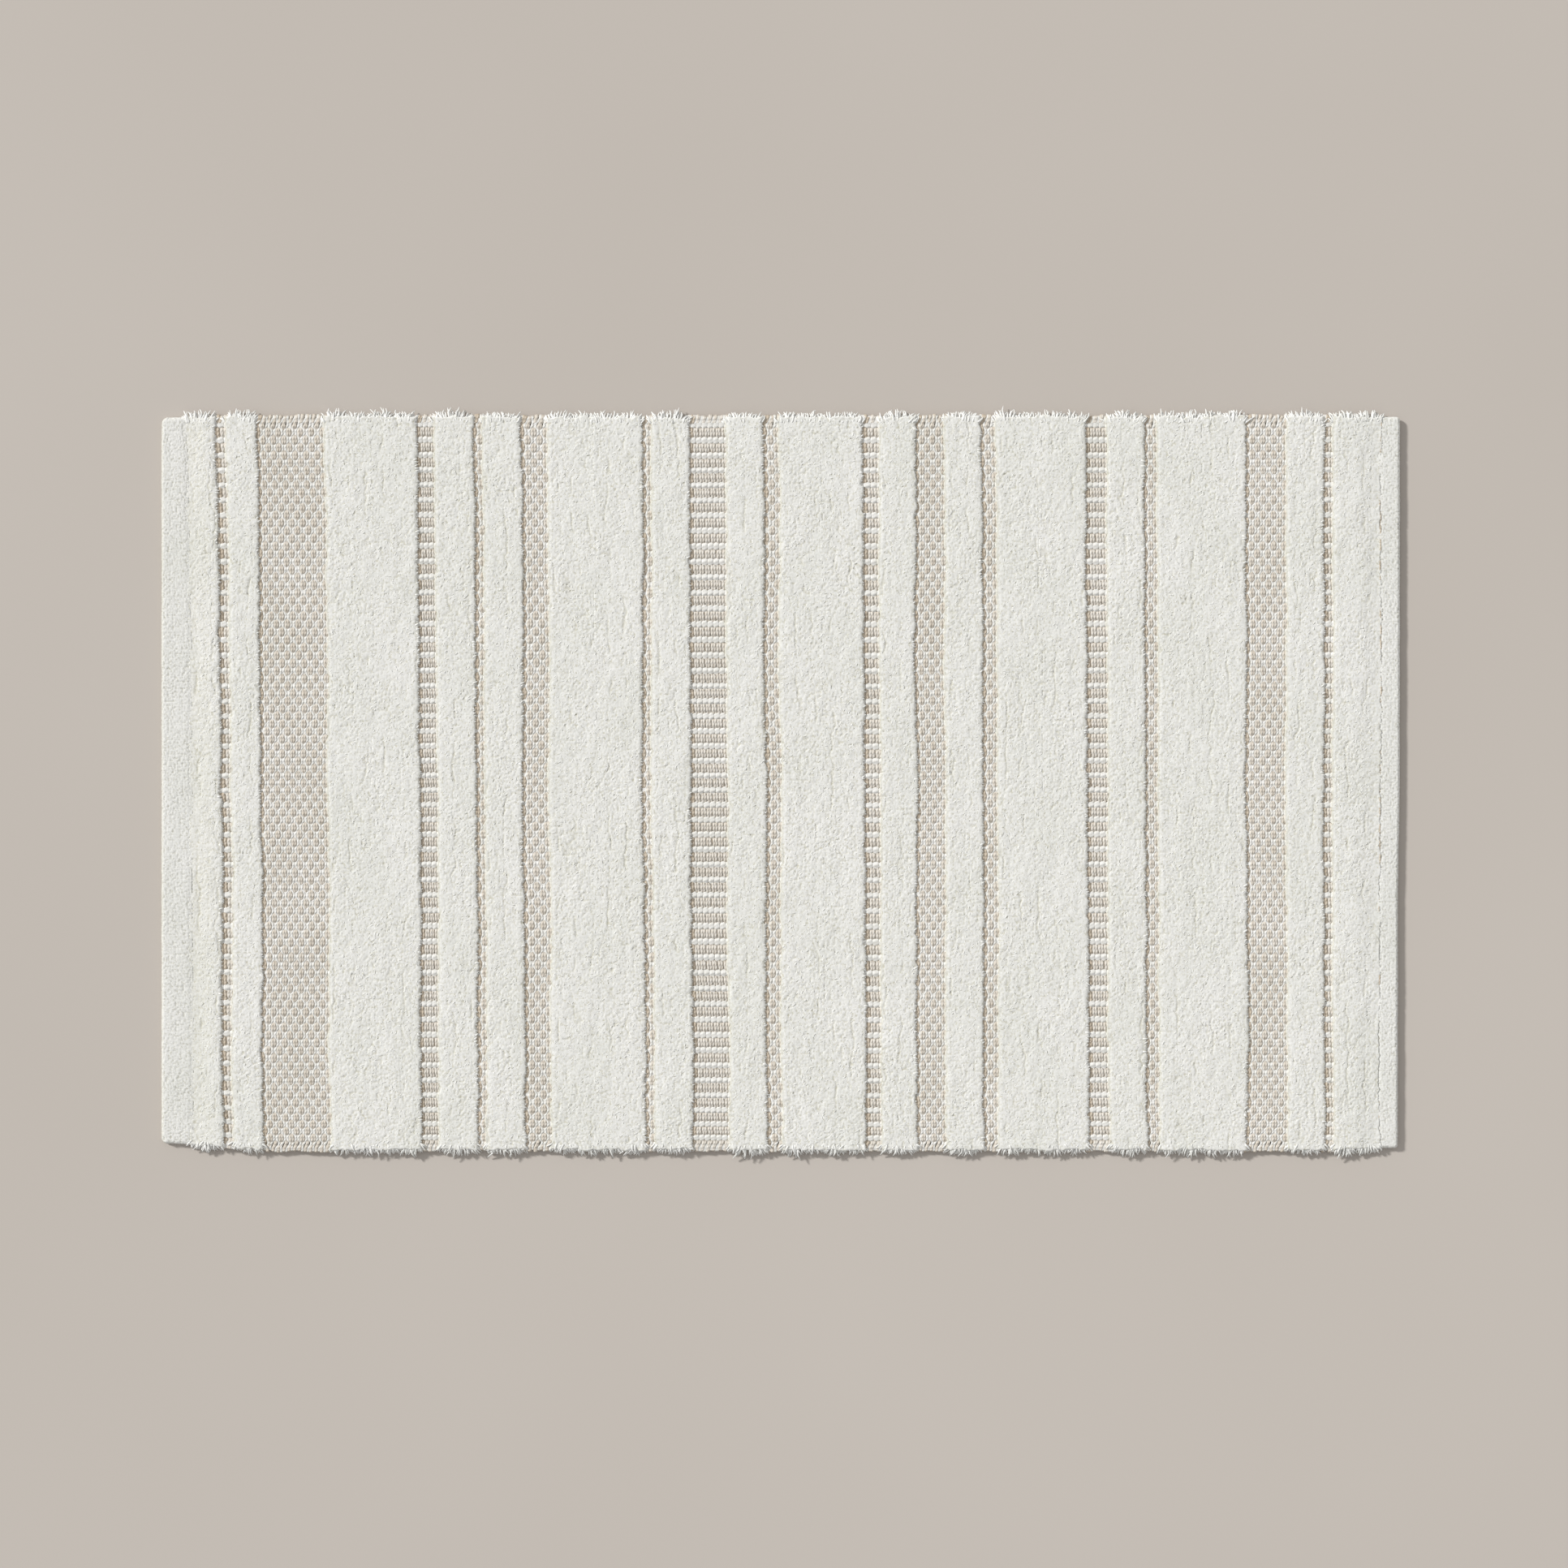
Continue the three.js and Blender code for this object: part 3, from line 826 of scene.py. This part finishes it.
# beige like the bands' yarns but darker: partly painted shade, for it shows only down in the gaps between
# them
ground_beige_with_painted_shade = cotton(
    "Ground cotton under the bands with painted shade", (0.44, 0.38, 0.31), (0.54, 0.48, 0.40), (0.62, 0.56, 0.48),
    WHITE_TINTS, grain=380,
)
# tan thread whose darkness also stands in for the shade down in the seam: partly painted shade
thread_cotton_with_seam_shade = cotton(
    "Sewing thread with painted seam shade", (0.45, 0.37, 0.28), (0.56, 0.48, 0.38), (0.66, 0.58, 0.48), WHITE_TINTS,
    twist=(2, 260, 0.5), grain=900,
)


# ---- build the mat ----
def mm_box(node):
    lo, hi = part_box(node)
    return np.array(lo) / MM, np.array(hi) / MM


TUCK = 0.9                 # how far each band runs in under its neighbours
band_edges = []
for i in range(1, BANDS + 1):
    lo, hi = mm_box(f"woven_band_{i:02d}")
    band_edges.append((lo[0] + TUCK, hi[0] - TUCK))
left_lo, left_hi = mm_box("hem_left")
right_lo, right_hi = mm_box("hem_right")
pile_starts = [left_hi[0]] + [b for _, b in band_edges]
pile_ends = [a for a, _ in band_edges] + [right_lo[0]]

for i, (a, b) in enumerate(band_edges, 1):
    ob = band(i, a, b).mesh(f"band_{i:02d}", [beige_cotton, white_cotton])
    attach(ob, "root")
    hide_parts(f"woven_band_{i:02d}")

for i, (a, b) in enumerate(zip(pile_starts, pile_ends), 1):
    if i in WIDE_PILES:
        middle = (a + b) / 2
        halves = [("a", a, middle, STEEP, 0), ("b", middle, b, 0, STEEP)]
    elif i == 1:
        halves = [("", a - 2.0, b, 18.0, STEEP)]    # sinks down to the left hem's height
    elif i == BANDS + 1:
        halves = [("", a, b + 1.4, STEEP, 18.5)]    # and to the right one's
    else:
        halves = [("", a, b, STEEP, STEEP)]
    for tag, x0, x1, left, right in halves:
        name = f"pile_{i:02d}{'_' + tag if tag else ''}"
        cloth = pile(x0, x1, left, right, 1000 + 10 * i, 5000 + 10 * i + (tag == "b"))
        ob = cloth.mesh(name, [pile_cotton, loose_cotton_painted_light])
        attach(ob, "root")
        if tag != "b":
            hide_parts(f"pile_stripe_{i:02d}")

hem_ends = (("left", -1, left_lo[0], left_hi[0]), ("right", 1, right_hi[0], right_lo[0]))
for side, sign, outer, inner in hem_ends:
    cloth = hem(sign, outer, inner, 700 + 5 * sign)
    ob = cloth.mesh(f"hem_{side}_cloth", [hem_cotton])
    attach(ob, "root")
    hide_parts(f"hem_{side}")
    seam = stitches(inner + 1.6 * sign, 3.6 if sign < 0 else 4.2, 800 + 5 * sign)
    seam = seam.mesh(f"hem_{side}_thread", [thread_cotton_with_seam_shade])
    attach(seam, "root")
    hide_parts(f"hem_stitch_{side}")

g_lo, g_hi = mm_box("ground_cloth")
cloth = ground(g_lo[0] + 0.6, g_hi[0] - 0.6, band_edges)
cloth_ob = cloth.mesh("ground_sheet", [ground_cotton, ground_beige_with_painted_shade])
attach(cloth_ob, "root")
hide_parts("ground_cloth")

# ---- floor ----
bpy.ops.mesh.primitive_plane_add(size=9, location=(0, 0, -0.0004))
floor = bpy.context.object
floor.name = "floor"
plaster = bpy.data.materials.new("Pale floor")
plaster.use_nodes = True
nt = plaster.node_tree
p = nt.nodes["Principled BSDF"]
p.inputs["Roughness"].default_value = 0.9
p.inputs["Specular IOR Level"].default_value = 0.1
where = nt.nodes.new("ShaderNodeTexCoord").outputs["Object"]
tones = [(0.3, (0.524, 0.482, 0.440)), (0.7, (0.556, 0.514, 0.472))]
nt.links.new(ramp(nt, speckle(nt, where, 1.3, 3.0), tones), p.inputs["Base Color"])
floor.data.materials.append(plaster)

# ---- light and camera ----
scene = bpy.context.scene
scene.view_settings.view_transform = "Standard"
world = bpy.data.worlds.new("Studio")
scene.world = world
world.use_nodes = True
world.node_tree.nodes["Background"].inputs["Color"].default_value = (1.0, 0.99, 0.98, 1)
world.node_tree.nodes["Background"].inputs["Strength"].default_value = 0.51

key = bpy.data.lights.new("Key", "SUN")
key.energy = 3.2
key.angle = math.radians(7.5)
key.color = (1.0, 0.99, 0.975)
lamp = bpy.data.objects.new("Key", key)
elevation, azimuth = math.radians(29.5), math.radians(180 - 31)
level = math.cos(elevation)
toward = Vector((math.cos(azimuth) * level, math.sin(azimuth) * level, math.sin(elevation)))
lamp.rotation_euler = toward.to_track_quat("Z", "Y").to_euler()
scene.collection.objects.link(lamp)

camera = bpy.data.cameras.new("Camera")
camera.lens, camera.sensor_width = 85, 36
camera.clip_start, camera.clip_end = 0.05, 30
eye = bpy.data.objects.new("Camera", camera)
eye.location = (0.0023, -0.0006, 2.586)    # straight above, looking down
scene.collection.objects.link(eye)
scene.camera = eye
